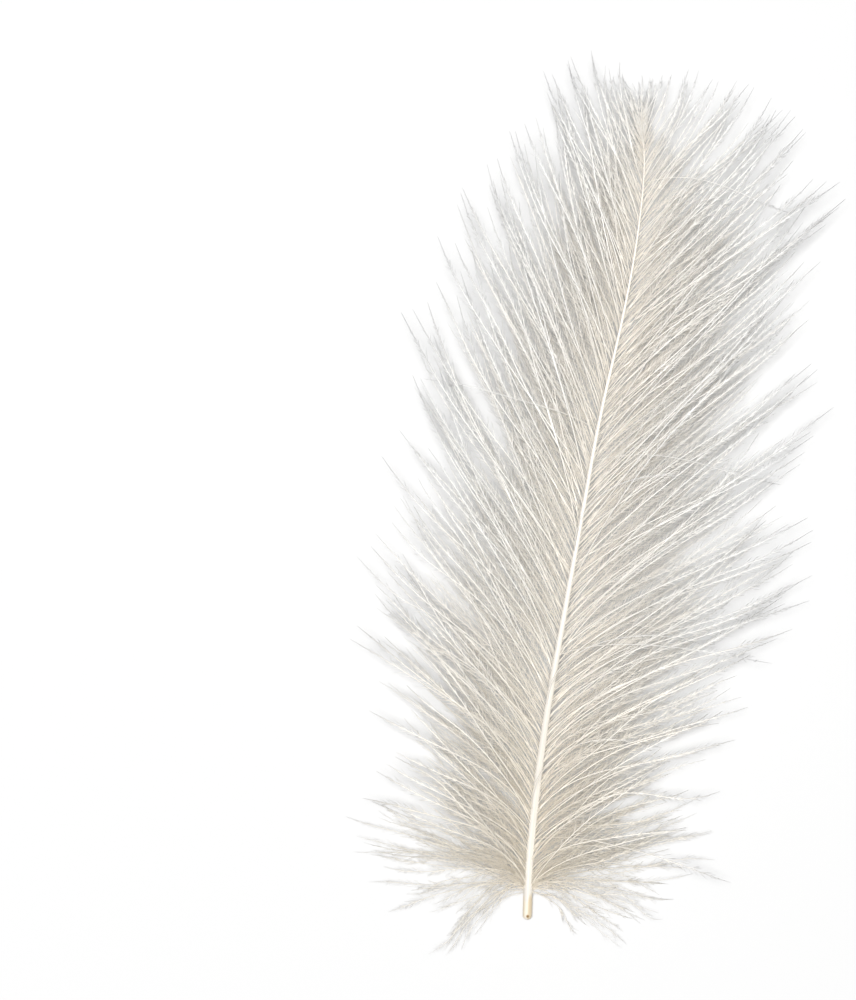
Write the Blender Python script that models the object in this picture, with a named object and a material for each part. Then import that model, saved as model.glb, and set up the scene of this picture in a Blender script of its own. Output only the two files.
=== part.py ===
"""A cul de canard feather, lying on its underside with its quill towards -Y.

It is one grown piece. A thin shaft with a rounded quill end bows gently to +X and rises a
little off the surface. The soft vane stands on both sides of it as flat locks that taper
to a point, fused to the shaft and to each other where they overlap. The locks lie in two
layers: the lower ones droop until their tips rest on the surface, and the upper ones arch
over them. A looser fan of locks spreads round the quill, and a tuft closes the tip.

Metres, +Z up. The origin is under the middle of the feather, on the surface it lies on.
"""

import math
import random

import bmesh
import bpy
from mathutils import Vector

MM = 0.001

# The shaft's centre line, from the end of the quill to the tip: across, along and up.
QUILL_END = Vector((-6.05, -34.26, 0.0)) * MM
SHAFT_ROUTE = (
    (0.0, 0.0, 0.4),
    (0.3, 6.4, 0.9),
    (1.4, 16.0, 2.3),
    (2.9, 25.0, 3.1),
    (4.4, 33.4, 3.4),
    (5.9, 41.6, 3.4),
    (7.8, 50.0, 3.2),
    (9.0, 56.5, 2.9),
    (9.6, 62.2, 2.5),
    (9.4, 66.2, 2.1),
)
STEPS_PER_SPAN = 6
QUILL_RADIUS = 0.39 * MM
SHAFT_TAPER = 1.2
THINNEST_SHARE = 0.3
ROUND_END_STEPS = 3
SHAFT_BEVEL_STEPS = 2
BARE_QUILL = 2.2 * MM
HEADING_REACH = 0.5 * MM
WELD_DISTANCE = 0.001 * MM

# The vane along the barbed shaft: share of the way, length in mm, angle to the shaft where
# a lock leaves it, and angle to the shaft further out.
VANE = (
    (0.00, 16.5, 26.0, 98.0),
    (0.10, 20.0, 30.0, 80.0),
    (0.25, 25.0, 33.0, 68.0),
    (0.40, 27.5, 32.0, 57.0),
    (0.60, 26.5, 30.0, 51.0),
    (0.75, 22.0, 27.0, 48.0),
    (0.88, 14.9, 23.0, 43.0),
    (0.95, 8.3, 18.0, 36.0),
    (1.00, 3.6, 12.0, 26.0),
)
LOCKS_PER_SIDE = 25
LEFT_LENGTH_SHARE = 0.95
LEFT_ANGLE_LESS = 6.0
TIP_TURN = 18.0

# The fan round the quill: angle to the shaft, and length in mm.
BASE_FAN = ((99.0, 15.5), (114.0, 13.0), (140.0, 10.5), (163.0, 9.0))
FAN_SPACING = 0.4 * MM
FAN_LEAVING_SHARE = 0.6

# The tuft beyond the shaft's tip: angles to the shaft, and one length.
TIP_TUFT = (-17.0, 0.0, 17.0)
TIP_TUFT_LENGTH = 3.4 * MM
TUFT_SET_BACK = 1.5 * MM
TUFT_LEAVING_SHARE = 0.5

# One lock: its belly's width and thickness, and how it arches and droops.
LOCK_WIDTH = 2.7 * MM
LOCK_THICKNESS = 0.8 * MM
LOCK_STATIONS = 8
LOCK_BEVEL_STEPS = 0
ROOT_SHARE = 0.5
BELLY_AT = 0.35
FALL_POWER = 1.5
POINT_SHARE = 0.12
UPPER_RISE = 2.5 * MM
UPPER_TIP_HEIGHT = 2.9 * MM
LOWER_RISE = 0.2 * MM
DROOP_POWER = 1.6
TIP_HEIGHT_SPREAD = 0.9 * MM
ANGLE_SPREAD = 2.5
LENGTH_SPREAD = 0.06
SPREAD_SEED = 11

CREAM_WHITE = (0.86, 0.83, 0.78, 1.0)


def clear_scene():
    """Removes whatever the scene holds."""
    for thing in list(bpy.data.objects):
        bpy.data.objects.remove(thing, do_unlink=True)


def new_collection(name):
    """A collection of that name in the scene."""
    collection = bpy.data.collections.new(name)
    bpy.context.scene.collection.children.link(collection)
    return collection


def down_material():
    """Soft keratin, creamy white and dull."""
    material = bpy.data.materials.new("cream_down")
    material.use_nodes = True
    shader = material.node_tree.nodes["Principled BSDF"]
    shader.inputs["Base Color"].default_value = CREAM_WHITE
    shader.inputs["Roughness"].default_value = 0.75
    shader.inputs["Metallic"].default_value = 0.0
    return material


def smooth_route(points, steps):
    """Points on a smooth curve through the given ones, evenly spread in each span."""
    route = []
    last = len(points) - 1
    for i in range(last):
        before = points[max(i - 1, 0)]
        start = points[i]
        end = points[i + 1]
        after = points[min(i + 2, last)]
        for step in range(steps):
            t = step / steps
            pull_out = (end - before) * 0.5
            pull_in = (after - start) * 0.5
            route.append(
                start * (2 * t**3 - 3 * t**2 + 1)
                + pull_out * (t**3 - 2 * t**2 + t)
                + end * (3 * t**2 - 2 * t**3)
                + pull_in * (t**3 - t**2)
            )
    route.append(points[last])
    return route


class Shaft:
    """The shaft's centre line, read by the distance from the end of the quill."""

    def __init__(self):
        corners = [QUILL_END + Vector(point) * MM for point in SHAFT_ROUTE]
        self.route = smooth_route(corners, STEPS_PER_SPAN)
        self.distance = [0.0]
        for here, there in zip(self.route, self.route[1:]):
            self.distance.append(self.distance[-1] + (there - here).length)
        self.length = self.distance[-1]

    def at(self, distance):
        """The point at that distance along the centre line."""
        for i in range(1, len(self.route)):
            if distance <= self.distance[i]:
                break
        span = self.distance[i] - self.distance[i - 1]
        share = (distance - self.distance[i - 1]) / span
        return self.route[i - 1].lerp(self.route[i], share)

    def heading(self, distance):
        """The shaft's direction there, seen from above, in radians from +X."""
        ahead = self.at(min(distance + HEADING_REACH, self.length))
        behind = self.at(max(distance - HEADING_REACH, 0.0))
        return math.atan2(ahead.y - behind.y, ahead.x - behind.x)

    def radius(self, distance):
        """The shaft's radius there: rounded at the quill, thin at the tip."""
        along = max(1.0 - distance / self.length, 0.0)
        return QUILL_RADIUS * (THINNEST_SHARE + (1.0 - THINNEST_SHARE) * along**SHAFT_TAPER)


def swept_mesh(name, route, shares, thickness, flat_width, bevel_steps):
    """A closed mesh swept along the route, flat if it has a flat width, scaled by the shares."""
    curve = bpy.data.curves.new(name, "CURVE")
    curve.dimensions = "3D"
    curve.twist_mode = "Z_UP"
    curve.bevel_depth = thickness / 2
    curve.bevel_resolution = bevel_steps
    curve.extrude = flat_width / 2
    curve.use_fill_caps = True
    spline = curve.splines.new("POLY")
    spline.points.add(len(route) - 1)
    for point, place, share in zip(spline.points, route, shares):
        point.co = (*place, 1.0)
        point.radius = share
        point.tilt = math.pi / 2
    guide = bpy.data.objects.new(name + "_guide", curve)
    bpy.context.scene.collection.objects.link(guide)
    evaluated = guide.evaluated_get(bpy.context.evaluated_depsgraph_get())
    mesh = bpy.data.meshes.new_from_object(evaluated)
    mesh.name = name
    bpy.data.objects.remove(guide, do_unlink=True)
    weld_and_turn_out(mesh)
    return mesh


def weld_and_turn_out(mesh):
    """Welds the swept tube's caps to it and turns its faces outwards."""
    shape = bmesh.new()
    shape.from_mesh(mesh)
    bmesh.ops.remove_doubles(shape, verts=shape.verts, dist=WELD_DISTANCE)
    bmesh.ops.recalc_face_normals(shape, faces=shape.faces)
    shape.to_mesh(mesh)
    shape.free()


def shaft_mesh(shaft):
    """The shaft with its rounded quill end."""
    route = []
    shares = []
    for step in range(1, ROUND_END_STEPS + 1):
        turn = math.pi / 2 * step / (ROUND_END_STEPS + 1)
        distance = QUILL_RADIUS * (1.0 - math.cos(turn))
        route.append(shaft.at(distance))
        shares.append(math.sin(turn))
    for place, distance in zip(shaft.route, shaft.distance):
        if distance > QUILL_RADIUS:
            route.append(place)
            shares.append(shaft.radius(distance) / QUILL_RADIUS)
    return swept_mesh("feather", route, shares, 2 * QUILL_RADIUS, 0.0, SHAFT_BEVEL_STEPS)


def vane_at(share):
    """Length in metres and the two angles in degrees of the vane at that share of the shaft."""
    for here, there in zip(VANE, VANE[1:]):
        if share <= there[0]:
            break
    mix = (share - here[0]) / (there[0] - here[0])
    length, leave, outer = (a + (b - a) * mix for a, b in zip(here[1:], there[1:]))
    return length * MM, leave, outer


def lock_width_share(along):
    """Width of a lock at that share of its length: slim at the root, pointed at the end."""
    if along < BELLY_AT:
        swell = 1.0 - (1.0 - along / BELLY_AT) ** 2
        return ROOT_SHARE + (1.0 - ROOT_SHARE) * swell
    fall = ((along - BELLY_AT) / (1.0 - BELLY_AT)) ** FALL_POWER
    return 1.0 - (1.0 - POINT_SHARE) * fall


def lock_route(start, heading, side, length, angles, rise, tip_height):
    """Centre line of a lock. Side is 1 to the right of the shaft and -1 to the left."""
    leave, outer = angles
    route = [start]
    step = length / LOCK_STATIONS
    for station in range(1, LOCK_STATIONS + 1):
        along = (station - 0.5) / LOCK_STATIONS
        angle = outer - (outer - leave) * (1.0 - along) ** 2 - TIP_TURN * along**2
        course = heading - side * math.radians(angle)
        flat = Vector((math.cos(course), math.sin(course), 0.0)) * step
        route.append(route[-1] + flat)
    for station, place in enumerate(route):
        along = station / LOCK_STATIONS
        drop = (start.z - tip_height) * along**DROOP_POWER
        height = start.z - drop + rise * math.sin(math.pi * along)
        place.z = max(height, LOCK_THICKNESS / 2 * lock_width_share(along))
    return route


def lock_mesh(name, route):
    """A flat lock that tapers to a point along that centre line."""
    last = len(route) - 1
    shares = [lock_width_share(station / last) for station in range(last + 1)]
    flat_width = LOCK_WIDTH - LOCK_THICKNESS
    return swept_mesh(name, route, shares, LOCK_THICKNESS, flat_width, LOCK_BEVEL_STEPS)


def side_locks(shaft, side, chance):
    """The routes of one side's locks from the quill to the tip, in two layers by turns."""
    routes = []
    barbed = shaft.length - BARE_QUILL
    for i in range(LOCKS_PER_SIDE):
        share = (i + 0.5) / LOCKS_PER_SIDE
        distance = BARE_QUILL + barbed * share
        length, leave, outer = vane_at(share)
        if side < 0:
            length *= LEFT_LENGTH_SHARE
            outer -= LEFT_ANGLE_LESS
        outer += chance.uniform(-ANGLE_SPREAD, ANGLE_SPREAD)
        length *= 1.0 + chance.uniform(-LENGTH_SPREAD, LENGTH_SPREAD)
        upper = i % 2 == 1
        rise = UPPER_RISE if upper else LOWER_RISE
        tip_height = 0.0
        if upper:
            tip_height = UPPER_TIP_HEIGHT + chance.uniform(-1.0, 1.0) * TIP_HEIGHT_SPREAD
        start = shaft.at(distance)
        heading = shaft.heading(distance)
        routes.append(
            lock_route(start, heading, side, length, (leave, outer), rise, tip_height)
        )
    return routes


def base_fan_locks(shaft):
    """The routes of the loose locks that spread sideways and back round the quill."""
    routes = []
    heading = shaft.heading(BARE_QUILL)
    for side in (1, -1):
        for i, (angle, length) in enumerate(BASE_FAN):
            start = shaft.at(BARE_QUILL + (len(BASE_FAN) - i) * FAN_SPACING)
            angles = (angle * FAN_LEAVING_SHARE, angle)
            routes.append(lock_route(start, heading, side, length * MM, angles, 0.0, 0.0))
    return routes


def tip_tuft_locks(shaft):
    """The routes of the short locks that close the vane beyond the shaft's tip."""
    start = shaft.at(shaft.length - TUFT_SET_BACK)
    heading = shaft.heading(shaft.length)
    routes = []
    for angle in TIP_TUFT:
        angles = (angle * TUFT_LEAVING_SHARE, angle)
        routes.append(lock_route(start, heading, 1, TIP_TUFT_LENGTH, angles, 0.0, 0.0))
    return routes


def make_feather(parts, solids):
    """The feather: its shaft joined with every lock."""
    shaft = Shaft()
    chance = random.Random(SPREAD_SEED)
    routes = side_locks(shaft, 1, chance)
    routes += side_locks(shaft, -1, chance)
    routes += base_fan_locks(shaft)
    routes += tip_tuft_locks(shaft)
    for i, route in enumerate(routes):
        name = f"lock_{i:02d}"
        lock = bpy.data.objects.new(name, lock_mesh(name, route))
        lock.hide_render = True
        lock.display_type = "WIRE"
        solids.objects.link(lock)
    mesh = shaft_mesh(shaft)
    feather = bpy.data.objects.new("feather", mesh)
    feather.data.materials.append(down_material())
    parts.objects.link(feather)
    join = feather.modifiers.new("locks", "BOOLEAN")
    join.operation = "UNION"
    join.operand_type = "COLLECTION"
    join.collection = solids
    join.solver = "EXACT"
    return feather


def main():
    """Builds the feather in an empty scene."""
    clear_scene()
    parts = new_collection("cul_de_canard_feather")
    solids = new_collection("lock_solids")
    feather = make_feather(parts, solids)
    feather.data.shade_smooth()


main()
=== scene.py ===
import math
import random
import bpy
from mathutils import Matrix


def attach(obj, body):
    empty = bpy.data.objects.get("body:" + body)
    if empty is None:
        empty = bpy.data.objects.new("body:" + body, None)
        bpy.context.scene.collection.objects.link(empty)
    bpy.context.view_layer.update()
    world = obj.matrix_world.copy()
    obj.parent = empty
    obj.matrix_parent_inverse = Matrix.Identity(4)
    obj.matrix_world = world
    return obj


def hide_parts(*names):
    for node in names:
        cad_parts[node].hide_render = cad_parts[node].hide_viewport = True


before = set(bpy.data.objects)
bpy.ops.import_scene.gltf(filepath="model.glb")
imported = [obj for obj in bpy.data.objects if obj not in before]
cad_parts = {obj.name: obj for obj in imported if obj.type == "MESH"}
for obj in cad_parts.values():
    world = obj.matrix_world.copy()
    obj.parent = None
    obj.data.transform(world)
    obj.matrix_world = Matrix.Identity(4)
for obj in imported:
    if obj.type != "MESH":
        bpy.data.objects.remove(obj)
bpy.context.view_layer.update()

from types import SimpleNamespace

import bmesh
import bpy
import numpy as np
from mathutils import Matrix, Vector

# A cul de canard feather lying on a white table, seen from straight above. The shaft is one
# swept piece. Every barb is a thin tapering strand that leaves the shaft, and every barbule a
# slender spike on its barb. Metres, +Z up, with the quill towards -Y.

MM = 0.001
UP = np.array((0.0, 0.0, 1.0))

# The shaft's centre line, from the end of the quill to the tip: across, along and up.
QUILL_END = np.array((-6.05, -34.26, 0.0)) * MM
SHAFT_ROUTE = (
    (0.0, 0.0, 0.4),
    (0.3, 6.4, 0.9),
    (1.4, 16.0, 2.3),
    (2.9, 25.0, 3.1),
    (4.4, 33.4, 3.4),
    (5.9, 41.6, 3.4),
    (7.8, 50.0, 3.2),
    (9.0, 56.5, 2.9),
    (9.6, 62.2, 2.5),
    (9.4, 66.2, 2.1),
)
STEPS_PER_SPAN = 12
QUILL_RADIUS = 0.39 * MM
SHAFT_TAPER = 1.2
THINNEST_SHARE = 0.16
BARE_QUILL = 2.2 * MM
HEADING_REACH = 0.5 * MM
QUILL_SPOT = (0.03, 0.32, 0.77)

# The vane along the barbed shaft: share of the way, length in mm, angle to the shaft where
# a barb leaves it, and angle to the shaft further out.
VANE = np.array(
    (
        (0.00, 16.5, 26.0, 98.0),
        (0.10, 20.0, 30.0, 80.0),
        (0.25, 25.0, 33.0, 68.0),
        (0.40, 27.5, 32.0, 57.0),
        (0.60, 26.5, 30.0, 51.0),
        (0.75, 22.0, 27.0, 48.0),
        (0.88, 14.9, 23.0, 43.0),
        (0.95, 8.3, 18.0, 36.0),
        (1.00, 3.6, 12.0, 26.0),
    )
)
LEFT_LENGTH_SHARE = 0.95
LEFT_ANGLE_LESS = 6.0
TIP_TURN = 18.0

# The loose fan round the quill: angle to the shaft, and length in mm.
BASE_FAN = np.array(((80.0, 16.0), (99.0, 15.5), (114.0, 13.0), (140.0, 10.5), (166.0, 9.0)))
# Its barbs: the stretch of shaft that they grow on, their rise and their tips are in mm.
FAN_BARBS = 42
FAN_STRETCH = 2.0
FAN_FORWARD_POWER = 1.8
FAN_LEAVING_SHARE = 0.6
FAN_LENGTH_RANGE = (0.6, 1.05)
FAN_RISE = 1.4
FAN_TIP_HEIGHT = 1.2
FAN_THICKNESS = (0.4, 0.8)
FAN_FUZZ = 0.5
FAN_EXTENT = 0.85
FAN_SWAY = (12.0, 2.0)
SOFT_LIFT = 0.7

# The tuft at the tip: the stretch of shaft that it grows on, its rise and tips are in mm.
TUFT_BARBS = 40
TUFT_STRETCH = 2.5
TUFT_ANGLE = 24.0
TUFT_LEAVING_SHARE = 0.5
TUFT_LENGTH = 3.6 * MM
TUFT_LENGTH_RANGE = (0.6, 1.2)
TUFT_RISE = 0.8
TUFT_TIP_HEIGHT = (0.3, 2.4)
TUFT_THICKNESS = (0.4, 0.7)
TUFT_FUZZ = 0.6
TUFT_SWAY = (5.0, 1.6)

# The locks that the barbs gather to, as they rise and droop.
LOCKS_PER_SIDE = 25
UPPER_RISE = 2.5 * MM
UPPER_TIP_HEIGHT = 2.9 * MM
LOWER_RISE = 0.2 * MM
DROOP_POWER = 1.6
ANGLE_SPREAD = 2.5
LENGTH_SPREAD = 0.06
TIP_HEIGHT_SPREAD = 0.9 * MM
LOCK_SEED = 11

# The layers of barbs on each side, from the underside up: how many, lowest and highest lift,
# thickness, where along the barb its barbules begin and how thickly they stand, shortest and
# longest share of the vane's width, and how far the barbs stray from its course in degrees.
LAYERS = (
    (240, 0.00, 0.40, 0.40, 0.00, 1.00, 0.36, 0.66, 7.0),
    (200, 0.25, 0.60, 0.45, 0.05, 1.00, 0.42, 0.74, 8.0),
    (110, 0.50, 0.80, 0.85, 0.18, 0.62, 0.68, 0.98, 14.0),
    (88, 0.75, 1.00, 1.25, 0.26, 0.62, 0.88, 1.05, 12.0),
)

# Single barbs that stray: side, share of the way, leaving and outer angle, length in mm.
STRAYS = (
    (1.0, 0.07, 70.0, 118.0, 17.0),
    (1.0, 0.31, 55.0, 104.0, 18.0),
    (1.0, 0.56, 62.0, 108.0, 16.0),
    (1.0, 0.92, 66.0, 122.0, 12.5),
    (-1.0, 0.10, 25.0, -84.0, 15.0),
    (-1.0, 0.24, 20.0, -92.0, 17.0),
    (-1.0, 0.44, 20.0, -76.0, 15.0),
    (-1.0, 0.60, 66.0, 102.0, 15.0),
)
STRAY_RISE = 1.1
STRAY_THICKNESS = 0.9
STRAY_FUZZ_FROM = 0.6
STRAY_FUZZ = 0.25
STRAY_SWAY = (6.0, 1.6)

# The shape of a barb. Shares are of its length.
BARB_STATIONS = 15
BARB_RADIUS = 0.045 * MM
BARB_TAPER = 0.18
BARB_TIP_SHARE = 0.15
BARB_TIP_POWER = 14
ROOT_SWAY_SHARE = 0.25
FEWEST_WAVES_SHARE = 0.4

# How barbs stray from the vane's course, as multiples of their layer's own stray.
BARBS_PER_WISP = 3
WISP_STRAY = 0.15
EVEN_STRAY = 2.6
CHANCE_STRAY = 0.25
LEAVING_STRAY = 0.6
MOST_STRAY = 1.8
MOST_STRAY_OUT = 0.9
GOLDEN = 0.618034
BARB_SEED = 5

# Curves: a value at the start, and then where each smooth change begins, where it ends and
# how much it adds. These run along the barbed shaft.
NEAR_QUILL = (1.0, (0.0, 0.14, -1.0))
LOOSE = (1.0, (0.05, 0.35, -1.0))
MIDDLE = (0.0, (0.2, 0.4, 1.0), (0.7, 0.9, -1.0))
NEAR_TIP = (0.0, (0.72, 1.0, 1.0))
# Painted shade: how much darker and warmer the barbs by the quill are painted.
SHADE_BY_QUILL = (0.65, (0.0, 0.35, -0.65))

# The barbs of the vane, and how far those curves change them.
QUILL_CROWDING = 1.15
UPPER_LAYERS_LIFT = 0.7
WITHIN_WISP = (0.93, 1.0)
SHORTER_BY_QUILL = 0.2
SHORTER_BY_TIP = 0.45
WIDER_LEAVE_BY_TIP = 10.0
LOOSE_STRAY_MORE = 0.8
LOOSE_ANGLE_LESS = 7.0
MIDDLE_ANGLE_LESS = 4.0
FLATTER_BY_TIP = 0.75
SPARE_HEIGHT = 0.5 * MM
THICKNESS_RANGE = (0.75, 1.2)
THINNER_BY_TIP = 0.35
FUZZ_FROM_RANGE = (0.8, 1.1)
EVEN_SWAY = 3.2
LOOSE_SWAY = 6.0
SWAY_WAVES = 1.8
JOINING_SHARE = 0.6

# Curves along the barb: how far it is drawn to its lock and to its wisp.
TO_LOCK = (0.0, (0.5, 1.0, 0.12))
TO_WISP = (0.0, (0.45, 0.95, 0.2))

# The barbules, and their curves along the barb, along the shaft and by the barb's lift.
BARBULES_PER_BARB = 90
LONGEST_BARB = 26.0 * MM
ROOT_FUZZ = 0.4
BARBULE_SPOTS = (0.03, 0.96)
BARBULE_LENGTH = 1.45 * MM
BARBULE_LENGTH_RANGE = (0.6, 1.15)
BARBULE_RADIUS = 0.016 * MM
MOST_OF_BARB_RADIUS = 0.7
BARBULE_SLANT = (34.0, (0.2, 0.75, -10.0), (0.75, 1.0, -8.0))
SLANT_SPREAD = 4.0
TILT_RANGE = (-0.6, 0.15)
SLANT_ALONG_SHAFT = (1.0, (0.55, 0.85, -0.3))
LONGER_PAST_ROOT = (0.3, (0.0, 0.2, 0.7))
SHORTER_TO_BARB_TIP = (1.0, (0.45, 0.8, -0.3), (0.82, 0.97, -0.6))
LENGTH_ALONG_SHAFT = (1.0, (0.7, 0.95, -0.3))
THICKER_ON_TOP = (1.0, (0.4, 0.7, 0.5))

# The map: up it runs painted shade, from 0, dark and warm on the low barbs and by the quill,
# to 1, the pale top of the vane.
# Across it runs how far out in the vane a point lies, and a barbule's tip lies further out;
# far out the finish paints shade that greys the tips.
DEEPEST_SHADE_TONE = 0.3
TONE_SPREAD = 0.06
BARBULE_TONE_SPREAD = 0.03
TONE_LIMITS = (0.02, 0.98)
BARBULE_TIP_FURTHER = 0.03

# The photograph's frame: its size, the quill's end and the scale.
PHOTO_WIDTH = 856
PHOTO_HEIGHT = 1000
QUILL_PIXEL = (527.0, 919.0)
PIXELS_PER_MM = 12.0
LENS = 120.0
SENSOR = 36.0


# The shaft's line

def smooth_route(points, steps):
    """Points on a smooth curve through the given ones, evenly spread in each span."""
    last = len(points) - 1
    route = []
    for i in range(last):
        before = points[max(i - 1, 0)]
        start = points[i]
        end = points[i + 1]
        after = points[min(i + 2, last)]
        for step in range(steps):
            t = step / steps
            route.append(
                start * (2 * t**3 - 3 * t**2 + 1)
                + (end - before) * 0.5 * (t**3 - 2 * t**2 + t)
                + end * (3 * t**2 - 2 * t**3)
                + (after - start) * 0.5 * (t**3 - t**2)
            )
    route.append(points[last])
    return np.array(route)


class ShaftLine:
    """The shaft's centre line, read by the distance from the end of the quill."""

    def __init__(self):
        self.route = smooth_route(QUILL_END + np.array(SHAFT_ROUTE) * MM, STEPS_PER_SPAN)
        steps = np.linalg.norm(np.diff(self.route, axis=0), axis=1)
        self.distance = np.concatenate(([0.0], np.cumsum(steps)))
        self.length = self.distance[-1]

    def at(self, distance):
        """The points at those distances along the centre line."""
        columns = [np.interp(distance, self.distance, self.route[:, k]) for k in range(3)]
        return np.stack(columns, axis=-1)

    def heading(self, distance):
        """The shaft's direction there, seen from above, in radians from +X."""
        ahead = self.at(np.minimum(distance + HEADING_REACH, self.length))
        behind = self.at(np.maximum(distance - HEADING_REACH, 0.0))
        run = ahead - behind
        return np.arctan2(run[..., 1], run[..., 0])

    def radius(self, distance):
        """The shaft's radius there."""
        along = np.clip(1.0 - distance / self.length, 0.0, 1.0)
        return QUILL_RADIUS * (THINNEST_SHARE + (1.0 - THINNEST_SHARE) * along**SHAFT_TAPER)


# The flow of the strands

def smoothstep(low, high, value):
    """0 below low, 1 above high, and smooth in between."""
    t = np.clip((value - low) / (high - low), 0.0, 1.0)
    return t * t * (3.0 - 2.0 * t)


def eased(curve, value):
    """A curve's start with each of its smooth changes added, at that value."""
    start, *changes = curve
    total = np.full(np.shape(value), start)
    for low, high, change in changes:
        total += change * smoothstep(low, high, value)
    return total


class Strands:
    """Barbs that are laid out together: one entry a barb in every array."""

    def __init__(self, shaft, side, share, distance):
        count = len(share)
        self.side = np.full(count, side)
        self.share = share
        self.start = shaft.at(distance)
        self.heading = shaft.heading(distance)
        self.length = np.zeros(count)
        self.leave = np.zeros(count)
        self.outer = np.zeros(count)
        self.rise = np.full(count, LOWER_RISE)
        self.tip_height = np.zeros(count)
        self.thickness = np.ones(count)
        self.lift = np.zeros(count)
        self.extent = np.ones(count)
        self.fuzz_from = np.zeros(count)
        self.fuzz = np.ones(count)
        self.sway = np.zeros((count, BARB_STATIONS))
        self.paths = None

    def follow_vane(self):
        """Takes length and angles from the vane."""
        length, self.leave, self.outer = (
            np.interp(self.share, VANE[:, 0], VANE[:, k]) for k in (1, 2, 3)
        )
        self.length = length * MM
        left = self.side < 0
        self.length[left] *= LEFT_LENGTH_SHARE
        self.outer[left] -= LEFT_ANGLE_LESS

    def swing(self, degrees, waves, chance):
        """Lets each strand waver to both sides of its course."""
        count = len(self.share)
        middle = (np.arange(BARB_STATIONS) + 0.5) / BARB_STATIONS
        turns = chance.uniform(waves * FEWEST_WAVES_SHARE, waves, count)[:, None] * middle
        turns = turns + chance.random(count)[:, None]
        size = chance.normal(0.0, 1.0, count) * degrees
        grows = ROOT_SWAY_SHARE + (1.0 - ROOT_SWAY_SHARE) * middle
        self.sway = size[:, None] * np.sin(2.0 * np.pi * turns) * grows

    def lay(self):
        """Works out the centre lines: they leave the shaft, bend outwards and droop."""
        middle = (np.arange(BARB_STATIONS) + 0.5) / BARB_STATIONS
        bend = (self.outer - self.leave)[:, None] * (1.0 - middle) ** 2
        angle = self.outer[:, None] - bend - TIP_TURN * middle**2 + self.sway
        course = self.heading[:, None] - self.side[:, None] * np.radians(angle)
        step = (self.length / BARB_STATIONS)[:, None]
        level = np.zeros_like(course)
        flat = np.stack((np.cos(course) * step, np.sin(course) * step, level), -1)
        paths = np.concatenate((self.start[:, None, :], flat), axis=1).cumsum(axis=1)
        along = np.linspace(0.0, 1.0, BARB_STATIONS + 1)
        drop = (self.start[:, 2] - self.tip_height)[:, None] * along**DROOP_POWER
        arch = self.rise[:, None] * np.sin(np.pi * along)
        paths[:, :, 2] = self.start[:, 2:3] - drop + arch
        self.paths = paths


def lock_guides(shaft, side, chance):
    """Centre lines of one side's locks, from quill to tip."""
    share = (np.arange(LOCKS_PER_SIDE) + 0.5) / LOCKS_PER_SIDE
    locks = Strands(shaft, side, share, BARE_QUILL + (shaft.length - BARE_QUILL) * share)
    locks.follow_vane()
    for i in range(LOCKS_PER_SIDE):
        locks.outer[i] += chance.uniform(-ANGLE_SPREAD, ANGLE_SPREAD)
        locks.length[i] *= 1.0 + chance.uniform(-LENGTH_SPREAD, LENGTH_SPREAD)
        if i % 2 == 1:
            locks.rise[i] = UPPER_RISE
            height = UPPER_TIP_HEIGHT + chance.uniform(-1.0, 1.0) * TIP_HEIGHT_SPREAD
            locks.tip_height[i] = height
    locks.lay()
    return locks.paths


def gather(paths, centres, weight):
    """Draws each path towards its centre line by a weight for each station."""
    return paths + (centres - paths) * weight[..., None]


def wisp_numbers(count, chance):
    """The number of the wisp that each barb belongs to, in the order along the shaft."""
    starts = chance.random(count) < 1.0 / BARBS_PER_WISP
    starts[0] = False
    return np.cumsum(starts)


def wisp_centres(paths, wisp):
    """For each path, the mean of all that share its wisp."""
    total = np.zeros((wisp[-1] + 1, *paths.shape[1:]))
    np.add.at(total, wisp, paths)
    return (total / np.bincount(wisp)[:, None, None])[wisp]


def spread_in_wisps(wisp, stray, chance):
    """How far each barb strays from its course: partly with its wisp, and mostly alone."""
    together = chance.normal(0.0, WISP_STRAY * stray, wisp[-1] + 1)[wisp]
    even = (np.arange(len(wisp)) * GOLDEN) % 1.0 - 0.5
    alone = stray * (EVEN_STRAY * even + chance.normal(0.0, CHANCE_STRAY, len(wisp)))
    return np.clip(together + alone, -MOST_STRAY * stray, MOST_STRAY_OUT * stray)


def barb_extents(share, wisp, reach, upper, chance):
    """Each barb's share of the vane's width, much alike within a wisp."""
    extent = chance.uniform(*reach, wisp[-1] + 1)[wisp]
    extent = extent * chance.uniform(*WITHIN_WISP, len(share))
    extent *= 1.0 - SHORTER_BY_QUILL * eased(NEAR_QUILL, share) * chance.random(len(share))
    if not upper:
        extent *= 1.0 - SHORTER_BY_TIP * eased(NEAR_TIP, share)
    return extent


def turn_barbs(barbs, wisp, stray, chance):
    """Turns each barb from the vane's course, more so where the vane is loose."""
    loose = eased(LOOSE, barbs.share)
    by_chance = chance.normal(0.0, LEAVING_STRAY * stray, len(barbs.share))
    barbs.leave += by_chance + WIDER_LEAVE_BY_TIP * eased(NEAR_TIP, barbs.share)
    spread = spread_in_wisps(wisp, stray, chance) * (1.0 + LOOSE_STRAY_MORE * loose)
    barbs.outer += spread - LOOSE_ANGLE_LESS * loose
    barbs.outer -= MIDDLE_ANGLE_LESS * eased(MIDDLE, barbs.share)


def arch_barbs(barbs, chance):
    """Sets each barb's arch and its tip's height by how high it lies in the vane."""
    flatter = 1.0 - FLATTER_BY_TIP * eased(NEAR_TIP, barbs.share)
    barbs.rise = LOWER_RISE + (UPPER_RISE - LOWER_RISE) * barbs.lift * flatter
    spare = np.abs(chance.normal(0.0, SPARE_HEIGHT, len(barbs.share)))
    barbs.tip_height = UPPER_TIP_HEIGHT * barbs.lift + spare


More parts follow.
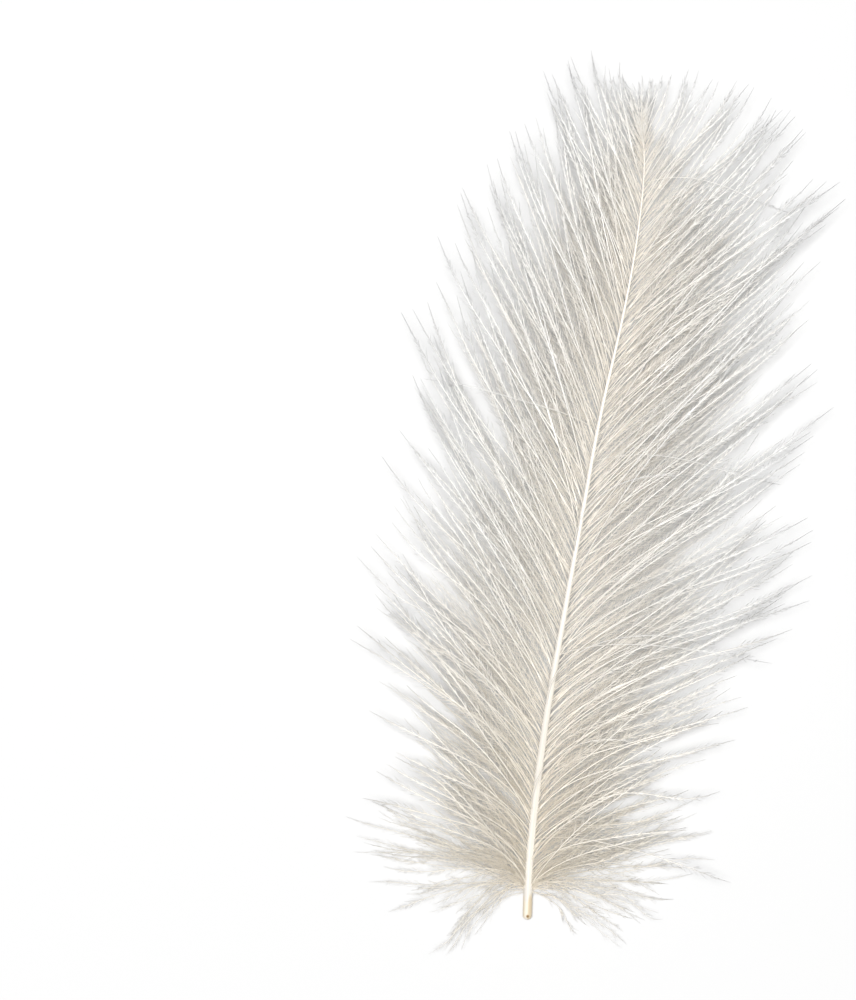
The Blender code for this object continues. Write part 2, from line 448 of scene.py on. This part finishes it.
def gather_barbs(barbs, wisp, guides, upper, chance):
    """Draws the barbs' outer parts a little towards their locks and wisps."""
    along = np.linspace(0.0, 1.0, BARB_STATIONS + 1)
    joins = chance.random(len(barbs.share)) < JOINING_SHARE
    held = joins * (1.0 - eased(NEAR_TIP, barbs.share))
    first = 1 if upper else 0
    lock = np.round((barbs.share * LOCKS_PER_SIDE - 0.5 - first) / 2).astype(int) * 2 + first
    lock = np.clip(lock, first, LOCKS_PER_SIDE - 1 - first)
    to_lock = eased(TO_LOCK, along) * held[:, None]
    barbs.paths = gather(barbs.paths, guides[lock], to_lock)
    centres = wisp_centres(barbs.paths, wisp)
    barbs.paths = gather(barbs.paths, centres, eased(TO_WISP, along)[None, :])


def vane_layer(shaft, side, layer, guides, chance):
    """One layer of one side's vane."""
    count, low_lift, high_lift, thickness, fuzz_from, fuzz, *reach, stray = layer
    share = ((np.arange(count) + chance.random(count)) / count) ** QUILL_CROWDING
    barbs = Strands(shaft, side, share, BARE_QUILL + (shaft.length - BARE_QUILL) * share)
    barbs.follow_vane()
    wisp = wisp_numbers(count, chance)
    upper = high_lift > UPPER_LAYERS_LIFT
    barbs.extent = barb_extents(share, wisp, reach, upper, chance)
    barbs.length *= barbs.extent
    turn_barbs(barbs, wisp, stray, chance)
    barbs.lift = chance.uniform(low_lift, high_lift, count)
    arch_barbs(barbs, chance)
    barbs.thickness = thickness * chance.uniform(*THICKNESS_RANGE, count)
    barbs.thickness *= 1.0 - THINNER_BY_TIP * eased(NEAR_TIP, share)
    barbs.fuzz_from = fuzz_from * chance.uniform(*FUZZ_FROM_RANGE, count)
    barbs.fuzz = np.full(count, fuzz)
    barbs.swing(EVEN_SWAY + LOOSE_SWAY * eased(LOOSE, share), SWAY_WAVES, chance)
    barbs.lay()
    gather_barbs(barbs, wisp, guides, upper, chance)
    return barbs


def base_fan(shaft, side, chance):
    """The loose wavy barbs that spread sideways and back round the quill."""
    distance = BARE_QUILL + chance.uniform(0.0, FAN_STRETCH, FAN_BARBS) * MM
    barbs = Strands(shaft, side, np.zeros(FAN_BARBS), distance)
    spread = chance.random(FAN_BARBS) ** FAN_FORWARD_POWER
    barbs.outer = BASE_FAN[0, 0] + (BASE_FAN[-1, 0] - BASE_FAN[0, 0]) * spread
    barbs.leave = barbs.outer * FAN_LEAVING_SHARE
    barbs.length = np.interp(barbs.outer, BASE_FAN[:, 0], BASE_FAN[:, 1]) * MM
    barbs.length *= chance.uniform(*FAN_LENGTH_RANGE, FAN_BARBS)
    barbs.rise = chance.uniform(0.0, FAN_RISE, FAN_BARBS) * MM
    barbs.tip_height = chance.uniform(0.0, FAN_TIP_HEIGHT, FAN_BARBS) * MM
    barbs.thickness = chance.uniform(*FAN_THICKNESS, FAN_BARBS)
    barbs.fuzz = np.full(FAN_BARBS, FAN_FUZZ)
    barbs.lift = np.full(FAN_BARBS, SOFT_LIFT)
    barbs.extent = np.full(FAN_BARBS, FAN_EXTENT)
    barbs.swing(*FAN_SWAY, chance)
    barbs.lay()
    return barbs


def tip_tuft(shaft, chance):
    """The short fine barbs that close the vane beyond the shaft's tip."""
    distance = shaft.length - chance.uniform(0.0, TUFT_STRETCH, TUFT_BARBS) * MM
    barbs = Strands(shaft, 1.0, np.ones(TUFT_BARBS), distance)
    barbs.outer = chance.uniform(-TUFT_ANGLE, TUFT_ANGLE, TUFT_BARBS)
    barbs.leave = barbs.outer * TUFT_LEAVING_SHARE
    barbs.outer = barbs.outer + TIP_TURN / 2
    barbs.length = TUFT_LENGTH * chance.uniform(*TUFT_LENGTH_RANGE, TUFT_BARBS)
    barbs.rise = chance.uniform(0.0, TUFT_RISE, TUFT_BARBS) * MM
    barbs.tip_height = chance.uniform(*TUFT_TIP_HEIGHT, TUFT_BARBS) * MM
    barbs.thickness = chance.uniform(*TUFT_THICKNESS, TUFT_BARBS)
    barbs.fuzz = np.full(TUFT_BARBS, TUFT_FUZZ)
    barbs.lift = np.full(TUFT_BARBS, SOFT_LIFT)
    barbs.swing(*TUFT_SWAY, chance)
    barbs.lay()
    return barbs


def stray_barbs(shaft, chance):
    """A few single barbs that lie across the others."""
    side, share, leave, outer, length = np.array(STRAYS).T
    distance = BARE_QUILL + (shaft.length - BARE_QUILL) * share
    barbs = Strands(shaft, side, share, distance)
    barbs.leave = leave
    barbs.outer = outer
    barbs.length = length * MM
    barbs.rise = np.full(len(share), UPPER_RISE * STRAY_RISE)
    barbs.tip_height = np.full(len(share), UPPER_TIP_HEIGHT)
    barbs.thickness = np.full(len(share), STRAY_THICKNESS)
    barbs.lift = np.ones(len(share))
    barbs.fuzz_from = np.full(len(share), STRAY_FUZZ_FROM)
    barbs.fuzz = np.full(len(share), STRAY_FUZZ)
    barbs.swing(*STRAY_SWAY, chance)
    barbs.lay()
    return barbs


# Meshes from arrays

TRIANGLE = np.radians((90.0, 210.0, 330.0))
MAP_SPREAD = np.array((0.0, -0.008, 0.008))
SPIKE = np.array(((0, 1, 3), (1, 2, 3), (2, 0, 3), (2, 1, 0)))


def frames_along(paths):
    """For each station of each path: its direction, and the two directions across it."""
    ahead = np.gradient(paths, axis=1)
    ahead /= np.linalg.norm(ahead, axis=-1, keepdims=True)
    right = np.cross(ahead, UP)
    right /= np.linalg.norm(right, axis=-1, keepdims=True)
    over = np.cross(right, ahead)
    return ahead, right, over


def barb_radius(thickness, along):
    """A barb's radius that far along it: it tapers slowly, and then quickly to its tip."""
    to_tip = (1.0 - BARB_TAPER - BARB_TIP_SHARE) * along**BARB_TIP_POWER
    return BARB_RADIUS * thickness * (1.0 - BARB_TAPER * along - to_tip)


def barb_arrays(barbs, shade_and_tone):
    """Three-sided tapering strands: points, quads, end triangles, and each point's map."""
    paths = barbs.paths
    count, stations = paths.shape[:2]
    ahead, right, over = frames_along(paths)
    along = np.linspace(0.0, 1.0, stations)
    radius = barb_radius(barbs.thickness[:, None], along)
    ring = (
        np.cos(TRIANGLE)[:, None] * right[:, :, None, :]
        + np.sin(TRIANGLE)[:, None] * over[:, :, None, :]
    )
    points = paths[:, :, None, :] + ring * radius[:, :, None, None]
    place = np.empty((count, stations, 3, 2))
    place[..., 0] = (barbs.extent[:, None] * along)[..., None]
    place[..., 1] = shade_and_tone[:, None, None] + MAP_SPREAD
    first = (np.arange(count) * stations * 3)[:, None, None]
    row = (np.arange(stations - 1) * 3)[:, None]
    corner = np.arange(3)
    here = first + row + corner
    beside = first + row + (corner + 1) % 3
    quads = np.stack((here, beside, beside + 3, here + 3), -1).reshape(-1, 4)
    root = first[:, 0, :] + corner[::-1]
    tip = first[:, 0, :] + (stations - 1) * 3 + corner
    return points.reshape(-1, 3), quads, np.concatenate((root, tip)), place.reshape(-1, 2)


def place_barbules(barbs, chance):
    """Which barb each barbule grows on, how far along it, and on which of its sides."""
    count = len(barbs.share)
    number = BARBULES_PER_BARB * 2
    spot = (np.arange(number) // 2 + chance.random((count, number))) / BARBULES_PER_BARB
    begin = barbs.fuzz_from[:, None]
    spot = begin + (1.0 - begin) * spot
    reach = np.linalg.norm(np.diff(barbs.paths, axis=1), axis=2).sum(axis=1)
    carried = (barbs.fuzz * reach / LONGEST_BARB)[:, None]
    carried = carried * (ROOT_FUZZ + (1.0 - ROOT_FUZZ) * spot)
    barb, order = np.nonzero(chance.random((count, number)) < carried)
    first, span = BARBULE_SPOTS
    return barb, first + span * spot[barb, order], np.where(order % 2 == 0, 1.0, -1.0)


def at_spots(values, barb, spot):
    """Values that every barb has at its stations, read at the spots on the given barbs."""
    last = values.shape[1] - 1
    place = spot * last
    low = np.minimum(place.astype(int), last - 1)
    mix = (place - low)[:, None]
    return values[barb, low] * (1.0 - mix) + values[barb, low + 1] * mix


def barbule_lines(barbs, barb, spot, side, chance):
    """The foot, course and tip of each barbule."""
    rows = (barbs.paths, *frames_along(barbs.paths))
    foot, forward, across, above = (at_spots(row, barb, spot) for row in rows)
    share = barbs.share[barb]
    slant = eased(BARBULE_SLANT, spot) * eased(SLANT_ALONG_SHAFT, share)
    slant = np.radians(slant + chance.normal(0.0, SLANT_SPREAD, len(spot)))
    tilt = chance.uniform(*TILT_RANGE, len(spot))
    outward = across * (side * np.cos(tilt))[:, None] + above * np.sin(tilt)[:, None]
    course = forward * np.cos(slant)[:, None] + outward * np.sin(slant)[:, None]
    length = BARBULE_LENGTH * chance.uniform(*BARBULE_LENGTH_RANGE, len(spot))
    length *= eased(LONGER_PAST_ROOT, spot) * eased(SHORTER_TO_BARB_TIP, spot)
    length *= eased(LENGTH_ALONG_SHAFT, share)
    tip = foot + course * length[:, None]
    tip[:, 2] = np.maximum(tip[:, 2], BARBULE_RADIUS)
    return foot, course, tip


def barbule_arrays(barbs, shade_and_tone, chance):
    """Slender four-faced spikes on both sides of every barb."""
    barb, spot, side = place_barbules(barbs, chance)
    foot, course, tip = barbule_lines(barbs, barb, spot, side, chance)
    wide = np.cross(course, UP)
    wide /= np.linalg.norm(wide, axis=-1, keepdims=True)
    deep = np.cross(wide, course)
    ring = (
        np.cos(TRIANGLE)[:, None] * wide[:, None, :]
        + np.sin(TRIANGLE)[:, None] * deep[:, None, :]
    )
    radius = BARBULE_RADIUS * eased(THICKER_ON_TOP, barbs.lift)[barb]
    most = MOST_OF_BARB_RADIUS * barb_radius(barbs.thickness[barb], spot)
    radius = np.minimum(radius, most)
    base = foot[:, None, :] + ring * radius[:, None, None]
    points = np.concatenate((base, tip[:, None, :]), axis=1)
    further = np.array((0.0, 0.0, 0.0, BARBULE_TIP_FURTHER))
    shades_and_tones = shade_and_tone[barb] + chance.normal(0.0, BARBULE_TONE_SPREAD, len(spot))
    place = np.empty((len(spot), 4, 2))
    place[..., 0] = (barbs.extent[barb] * spot)[:, None] + further
    place[..., 1] = shades_and_tones[:, None]
    place[:, :3, 1] += MAP_SPREAD
    faces = (np.arange(len(spot)) * 4)[:, None, None] + SPIKE
    return points.reshape(-1, 3), faces.reshape(-1, 3), place.reshape(-1, 2)


def mesh_of(name, points, quads, triangles, place):
    """A mesh from arrays of points, quads and triangles, with its own map."""
    mesh = bpy.data.meshes.new(name)
    corners = np.concatenate((quads.ravel(), triangles.ravel())).astype(np.int32)
    sizes = np.concatenate((np.full(len(quads), 4), np.full(len(triangles), 3)))
    starts = np.concatenate(([0], np.cumsum(sizes)[:-1])).astype(np.int32)
    mesh.vertices.add(len(points))
    mesh.vertices.foreach_set("co", points.astype(np.float32).ravel())
    mesh.loops.add(len(corners))
    mesh.loops.foreach_set("vertex_index", corners)
    mesh.polygons.add(len(sizes))
    mesh.polygons.foreach_set("loop_start", starts)
    mesh.update(calc_edges=True)
    layer = mesh.uv_layers.new(name="OFBake")
    layer.data.foreach_set("uv", place[corners].astype(np.float32).ravel())
    mesh.shade_smooth()
    return mesh


PER_BARB = ("share", "paths", "lift", "extent", "thickness", "fuzz_from", "fuzz")


def only(barbs, chosen):
    """The chosen barbs of a set, with what their mesh needs."""
    return SimpleNamespace(**{name: getattr(barbs, name)[chosen] for name in PER_BARB})


def joined(sets):
    """Several sets of barbs as one, with what their mesh needs."""
    return SimpleNamespace(
        **{name: np.concatenate([getattr(barbs, name) for barbs in sets]) for name in PER_BARB}
    )


def show(name, mesh):
    """Puts the mesh in the scene as a piece of the feather."""
    piece = bpy.data.objects.new(name, mesh)
    bpy.context.scene.collection.objects.link(piece)
    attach(piece, "root")
    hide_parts("feather")
    return piece


def down_piece(name, barbs, chance, finish):
    """One piece of the vane: its barbs with their barbules."""
    barbs.paths[:, :, 2] = np.maximum(barbs.paths[:, :, 2], BARB_RADIUS)
    # Painted shade: low barbs and those by the quill get a darker, warmer place on the map,
    # with a little random tone.
    shade_and_tone = DEEPEST_SHADE_TONE + (1.0 - DEEPEST_SHADE_TONE) * barbs.lift - eased(SHADE_BY_QUILL, barbs.share)
    shade_and_tone = np.clip(shade_and_tone + chance.normal(0.0, TONE_SPREAD, len(shade_and_tone)), *TONE_LIMITS)
    points, quads, caps, place = barb_arrays(barbs, shade_and_tone)
    fuzz, spikes, fuzz_place = barbule_arrays(barbs, shade_and_tone, chance)
    triangles = np.concatenate((caps, spikes + len(points)))
    points = np.concatenate((points, fuzz))
    place = np.clip(np.concatenate((place, fuzz_place)), 0.0, 1.0)
    mesh = mesh_of(name, points, quads, triangles, place)
    mesh.materials.append(finish)
    return show(name, mesh)


# The shaft

SHAFT_SIDES = 20
ROUND_END_STEPS = 6
SECTION_REACH = 0.2 * MM


def station_matrix(shaft, distance, radius):
    """Carries a unit circle in the XY plane to the shaft's section at that distance."""
    centre = Vector(shaft.at(distance))
    ahead = Vector(shaft.at(min(distance + SECTION_REACH, shaft.length)))
    behind = Vector(shaft.at(max(distance - SECTION_REACH, 0.0)))
    along = (ahead - behind).normalized()
    right = along.cross(Vector(UP)).normalized()
    over = right.cross(along)
    turn = Matrix((right, over, -along)).transposed().to_4x4()
    return Matrix.Translation(centre) @ turn @ Matrix.Diagonal((radius, radius, 1.0, 1.0))


def shaft_stations(shaft):
    """Distance and radius of each ring, from the rounded quill end to the tip."""
    stations = []
    for step in range(1, ROUND_END_STEPS + 1):
        turn = math.pi / 2 * step / (ROUND_END_STEPS + 1)
        stations.append((QUILL_RADIUS * (1.0 - math.cos(turn)), QUILL_RADIUS * math.sin(turn)))
    for distance in shaft.distance:
        if distance > QUILL_RADIUS:
            stations.append((float(distance), float(shaft.radius(distance))))
    return stations


def map_shaft(shape, along, around):
    """The shaft's map: across it runs from the quill to the tip, and up it runs round."""
    layer = shape.loops.layers.uv.new("OFBake")
    for face in shape.faces:
        turns = [loop.vert[around] for loop in face.loops]
        wraps = max(turns) - min(turns) > 0.5
        for loop in face.loops:
            turn = loop.vert[around]
            if wraps and turn < 0.5:
                turn += 1.0
            loop[layer].uv = (loop.vert[along], turn)


def shaft_piece(shaft, finish):
    """The shaft, swept ring by ring along its line."""
    shape = bmesh.new()
    along = shape.verts.layers.float.new("along")
    around = shape.verts.layers.float.new("around")
    stations = shaft_stations(shaft)
    place = station_matrix(shaft, *stations[0])
    bmesh.ops.create_circle(shape, segments=SHAFT_SIDES, radius=1.0, matrix=place)
    for number, vert in enumerate(shape.verts):
        vert[around] = (0.5 - number / SHAFT_SIDES) % 1.0
        vert[along] = stations[0][0] / shaft.length
    rim = list(shape.edges)
    for distance, radius in stations[1:]:
        following = station_matrix(shaft, distance, radius)
        made = bmesh.ops.extrude_edge_only(shape, edges=rim)["geom"]
        ring = [part for part in made if isinstance(part, bmesh.types.BMVert)]
        rim = [part for part in made if isinstance(part, bmesh.types.BMEdge)]
        rim = [edge for edge in rim if all(vert in ring for vert in edge.verts)]
        bmesh.ops.transform(shape, verts=ring, matrix=following @ place.inverted())
        for vert in ring:
            vert[along] = distance / shaft.length
        place = following
    bmesh.ops.holes_fill(shape, edges=shape.edges, sides=0)
    bmesh.ops.recalc_face_normals(shape, faces=shape.faces)
    map_shaft(shape, along, around)
    mesh = bpy.data.meshes.new("shaft")
    shape.to_mesh(mesh)
    shape.free()
    mesh.shade_smooth()
    mesh.materials.append(finish)
    return show("shaft", mesh)


# Finishes

DOWN_ROUGHNESS = 0.5
DOWN_GLOSS = 0.25
DOWN_SHEERNESS = 0.1
SHAFT_ROUGHNESS = 0.3
SHAFT_COAT = 0.2
LINES_STRETCH = (6.0, 34.0, 1.0)
LINES_DETAIL = 3.0
LINES_STRENGTH = 0.25
LINES_DEPTH = 0.01 * MM
TONGUE_LENGTH = 0.012
QUILL_EDGE = (0.027, 0.036)
SPOT_EDGE = (0.05 * MM, 0.19 * MM)
SPOT_BROWN = (0.22, 0.13, 0.05, 1.0)
TABLE_WHITE = (0.562, 0.562, 0.562, 1.0)
TABLE_ROUGHNESS = 0.9


def new_finish(name):
    """A material with its node tree and its shader."""
    finish = bpy.data.materials.new(name)
    finish.use_nodes = True
    tree = finish.node_tree
    return finish, tree, tree.nodes["Principled BSDF"]


def ramp(tree, stops):
    """A colour ramp through the stops: place and colour."""
    node = tree.nodes.new("ShaderNodeValToRGB")
    band = node.color_ramp
    while len(band.elements) < len(stops):
        band.elements.new(0.5)
    for element, (place, colour) in zip(band.elements, stops):
        element.position = place
        element.color = (*colour, 1.0)
    return node


def mixed(tree, kind, factor, first, second):
    """The colour of two mixed ones; the factor is a number or an output."""
    node = tree.nodes.new("ShaderNodeMix")
    node.data_type = "RGBA"
    node.blend_type = kind
    if isinstance(factor, float):
        node.inputs["Factor"].default_value = factor
    else:
        tree.links.new(factor, node.inputs["Factor"])
    tree.links.new(first, node.inputs["A"])
    tree.links.new(second, node.inputs["B"])
    return node.outputs["Result"]


def split_map(tree):
    """The piece's own map, whole and as its two numbers."""
    place = tree.nodes.new("ShaderNodeUVMap")
    place.uv_map = "OFBake"
    split = tree.nodes.new("ShaderNodeSeparateXYZ")
    tree.links.new(place.outputs["UV"], split.inputs["Vector"])
    return place, split


def down_finish():
    """Cream-white down, warmer by the shaft and a little translucent; painted shade darkens
    low barbs and those by the quill, and greys the tips.
    """
    finish, tree, shader = new_finish("down_finish")
    _, split = split_map(tree)
    # Across the map: cream by the shaft, then painted shade that greys the outer ends and
    # tips.
    along = ramp(
        tree,
        (
            (0.0, (0.975, 0.935, 0.87)),
            (0.3, (0.98, 0.96, 0.925)),
            (0.72, (0.97, 0.965, 0.955)),
            (0.85, (0.67, 0.67, 0.67)),
            (1.0, (0.54, 0.54, 0.545)),
        ),
    )
    tree.links.new(split.outputs["X"], along.inputs["Fac"])
    # Painted shade up the map: darker and warmer on low barbs and by the quill, pale on top.
    strand = ramp(
        tree,
        (
            (0.0, (0.87, 0.83, 0.75)),
            (0.3, (0.978, 0.948, 0.893)),
            (0.6, (0.985, 0.965, 0.93)),
            (1.0, (0.97, 0.97, 0.965)),
        ),
    )
    tree.links.new(split.outputs["Y"], strand.inputs["Fac"])
    colour = mixed(tree, "MULTIPLY", 1.0, along.outputs["Color"], strand.outputs["Color"])
    tree.links.new(colour, shader.inputs["Base Color"])
    shader.inputs["Roughness"].default_value = DOWN_ROUGHNESS
    shader.inputs["Specular IOR Level"].default_value = DOWN_GLOSS
    sheer = tree.nodes.new("ShaderNodeBsdfTranslucent")
    tree.links.new(colour, sheer.inputs["Color"])
    blend = tree.nodes.new("ShaderNodeMixShader")
    blend.inputs["Fac"].default_value = DOWN_SHEERNESS
    tree.links.new(shader.outputs["BSDF"], blend.inputs[1])
    tree.links.new(sheer.outputs["BSDF"], blend.inputs[2])
    output = tree.nodes["Material Output"]
    tree.links.new(blend.outputs["Shader"], output.inputs["Surface"])
    return finish


def lengthwise_lines(tree, place):
    """Fine lines that run along the shaft."""
    stretch = tree.nodes.new("ShaderNodeVectorMath")
    stretch.operation = "MULTIPLY"
    stretch.inputs[1].default_value = LINES_STRETCH
    tree.links.new(place, stretch.inputs[0])
    lines = tree.nodes.new("ShaderNodeTexNoise")
    lines.inputs["Scale"].default_value = 1.0
    lines.inputs["Detail"].default_value = LINES_DETAIL
    tree.links.new(stretch.outputs["Vector"], lines.inputs["Vector"])
    return lines.outputs["Fac"]


def quill_mask(tree, split):
    """1 on the bare quill, 0 on the shaft above it, with a pale tongue in between."""
    tongue = ramp(
        tree,
        (
            (0.0, (0.0, 0.0, 0.0)),
            (0.34, (0.0, 0.0, 0.0)),
            (0.44, (1.0, 1.0, 1.0)),
            (0.56, (0.0, 0.0, 0.0)),
        ),
    )
    tree.links.new(split.outputs["Y"], tongue.inputs["Fac"])
    shifted = tree.nodes.new("ShaderNodeMath")
    shifted.operation = "MULTIPLY_ADD"
    tree.links.new(tongue.outputs["Color"], shifted.inputs[0])
    shifted.inputs[1].default_value = TONGUE_LENGTH
    tree.links.new(split.outputs["X"], shifted.inputs[2])
    edge = tree.nodes.new("ShaderNodeMapRange")
    edge.interpolation_type = "SMOOTHSTEP"
    edge.inputs["From Min"].default_value = QUILL_EDGE[0]
    edge.inputs["From Max"].default_value = QUILL_EDGE[1]
    edge.inputs["To Min"].default_value = 1.0
    edge.inputs["To Max"].default_value = 0.0
    tree.links.new(shifted.outputs["Value"], edge.inputs["Value"])
    return edge.outputs["Result"]


def quill_spot(tree):
    """The dark dot near the end of the quill, where it grew from the skin."""
    place = tree.nodes.new("ShaderNodeTexCoord")
    reach = tree.nodes.new("ShaderNodeVectorMath")
    reach.operation = "DISTANCE"
    tree.links.new(place.outputs["Object"], reach.inputs[0])
    reach.inputs[1].default_value = QUILL_END + np.array(QUILL_SPOT) * MM
    edge = tree.nodes.new("ShaderNodeMapRange")
    edge.interpolation_type = "SMOOTHSTEP"
    edge.inputs["From Min"].default_value = SPOT_EDGE[0]
    edge.inputs["From Max"].default_value = SPOT_EDGE[1]
    edge.inputs["To Min"].default_value = 1.0
    edge.inputs["To Max"].default_value = 0.0
    tree.links.new(reach.outputs["Value"], edge.inputs["Value"])
    return edge.outputs["Result"]


def shaft_finish():
    """Glossy ivory keratin with fine lengthwise lines, tan at the bare quill, with painted
    shade along the sides and a painted highlight down the quill.
    """
    finish, tree, shader = new_finish("shaft_finish")
    place, split = split_map(tree)
    # Round the shaft: ivory with a beige line just right of the top, and painted shade
    # darkening both sides.
    ivory = ramp(
        tree,
        (
            (0.20, (0.56, 0.51, 0.43)),
            (0.30, (0.615, 0.59, 0.552)),
            (0.49, (0.615, 0.59, 0.548)),
            (0.52, (0.62, 0.58, 0.50)),
            (0.56, (0.655, 0.63, 0.58)),
            (0.68, (0.66, 0.63, 0.57)),
            (0.76, (0.56, 0.50, 0.41)),
        ),
    )
    # Round the bare quill: tan with a painted highlight just left of the top and painted shade
    # darkening both rims.
    tan = ramp(
        tree,
        (
            (0.22, (0.50, 0.40, 0.26)),
            (0.34, (0.60, 0.52, 0.39)),
            (0.44, (0.70, 0.66, 0.58)),
            (0.54, (0.56, 0.47, 0.33)),
            (0.70, (0.58, 0.49, 0.35)),
            (0.78, (0.46, 0.37, 0.24)),
        ),
    )
    for band in (ivory, tan):
        tree.links.new(split.outputs["Y"], band.inputs["Fac"])
    bare = quill_mask(tree, split)
    colour = mixed(tree, "MIX", bare, ivory.outputs["Color"], tan.outputs["Color"])
    lines = lengthwise_lines(tree, place.outputs["UV"])
    shade = ramp(tree, ((0.3, (0.93, 0.92, 0.90)), (0.7, (1.0, 1.0, 1.0))))
    tree.links.new(lines, shade.inputs["Fac"])
    colour = mixed(tree, "MULTIPLY", 1.0, colour, shade.outputs["Color"])
    brown = tree.nodes.new("ShaderNodeRGB")
    brown.outputs["Color"].default_value = SPOT_BROWN
    colour = mixed(tree, "MIX", quill_spot(tree), colour, brown.outputs["Color"])
    tree.links.new(colour, shader.inputs["Base Color"])
    shader.inputs["Roughness"].default_value = SHAFT_ROUGHNESS
    shader.inputs["Coat Weight"].default_value = SHAFT_COAT
    bump = tree.nodes.new("ShaderNodeBump")
    bump.inputs["Strength"].default_value = LINES_STRENGTH
    bump.inputs["Distance"].default_value = LINES_DEPTH
    tree.links.new(lines, bump.inputs["Height"])
    tree.links.new(bump.outputs["Normal"], shader.inputs["Normal"])
    return finish


def table_finish():
    """Matt white table."""
    finish, _, shader = new_finish("table_finish")
    shader.inputs["Base Color"].default_value = TABLE_WHITE
    shader.inputs["Roughness"].default_value = TABLE_ROUGHNESS
    return finish


# Table, light and camera

TABLE_SIZE = 2.0
LAMP_SIZE = 0.35
LAMP_POWER = 17.6
LAMP_PLACE = Vector((-0.08, 0.06, 1.05))
ROOM_LIGHT = 0.22


def make_table():
    """The white surface that the feather lies on."""
    shape = bmesh.new()
    bmesh.ops.create_grid(shape, x_segments=1, y_segments=1, size=TABLE_SIZE)
    mesh = bpy.data.meshes.new("table")
    shape.to_mesh(mesh)
    shape.free()
    mesh.materials.append(table_finish())
    table = bpy.data.objects.new("table", mesh)
    bpy.context.scene.collection.objects.link(table)


def make_light():
    """A soft lamp overhead, a little to the upper left, and faint light from all round."""
    lamp = bpy.data.lights.new("soft_box", "AREA")
    lamp.shape = "SQUARE"
    lamp.size = LAMP_SIZE
    lamp.energy = LAMP_POWER
    soft_box = bpy.data.objects.new("soft_box", lamp)
    soft_box.location = LAMP_PLACE
    soft_box.rotation_euler = (-LAMP_PLACE).to_track_quat("-Z", "Y").to_euler()
    bpy.context.scene.collection.objects.link(soft_box)
    world = bpy.data.worlds.new("room")
    world.use_nodes = True
    sky = world.node_tree.nodes["Background"]
    sky.inputs["Color"].default_value = (1.0, 1.0, 1.0, 1.0)
    sky.inputs["Strength"].default_value = ROOM_LIGHT
    bpy.context.scene.world = world


def make_camera():
    """Straight above, with the quill's end where the photograph has it."""
    across = (PHOTO_WIDTH / 2 - QUILL_PIXEL[0]) / PIXELS_PER_MM * MM
    along = (QUILL_PIXEL[1] - PHOTO_HEIGHT / 2) / PIXELS_PER_MM * MM
    height = PHOTO_HEIGHT / PIXELS_PER_MM * MM * LENS / SENSOR
    lens = bpy.data.cameras.new("camera")
    lens.lens = LENS
    lens.sensor_width = SENSOR
    camera = bpy.data.objects.new("camera", lens)
    camera.location = (QUILL_END[0] + across, QUILL_END[1] + along, height)
    bpy.context.scene.collection.objects.link(camera)
    bpy.context.scene.camera = camera
    bpy.context.scene.view_settings.view_transform = "Standard"


# The feather

SECTIONS = (("lower", 0.0, 0.30), ("middle", 0.30, 0.62), ("upper", 0.62, 1.01))


def make_down(shaft, finish):
    """Both vanes, each in three lengths, the fan round the quill and the tuft at the tip."""
    lock_chance = random.Random(LOCK_SEED)
    chance = np.random.default_rng(BARB_SEED)
    for side, side_name in ((1.0, "right"), (-1.0, "left")):
        guides = lock_guides(shaft, side, lock_chance)
        vane = joined([vane_layer(shaft, side, layer, guides, chance) for layer in LAYERS])
        for section, low, high in SECTIONS:
            part = only(vane, (vane.share >= low) & (vane.share < high))
            down_piece(f"vane_{side_name}_{section}", part, chance, finish)
    fans = joined([base_fan(shaft, side, chance) for side in (1.0, -1.0)])
    down_piece("quill_down", fans, chance, finish)
    down_piece("tip_tuft", tip_tuft(shaft, chance), chance, finish)
    down_piece("stray_barbs", stray_barbs(shaft, chance), chance, finish)


make_table()
make_light()
make_camera()
shaft_line = ShaftLine()
shaft_piece(shaft_line, shaft_finish())
make_down(shaft_line, down_finish())
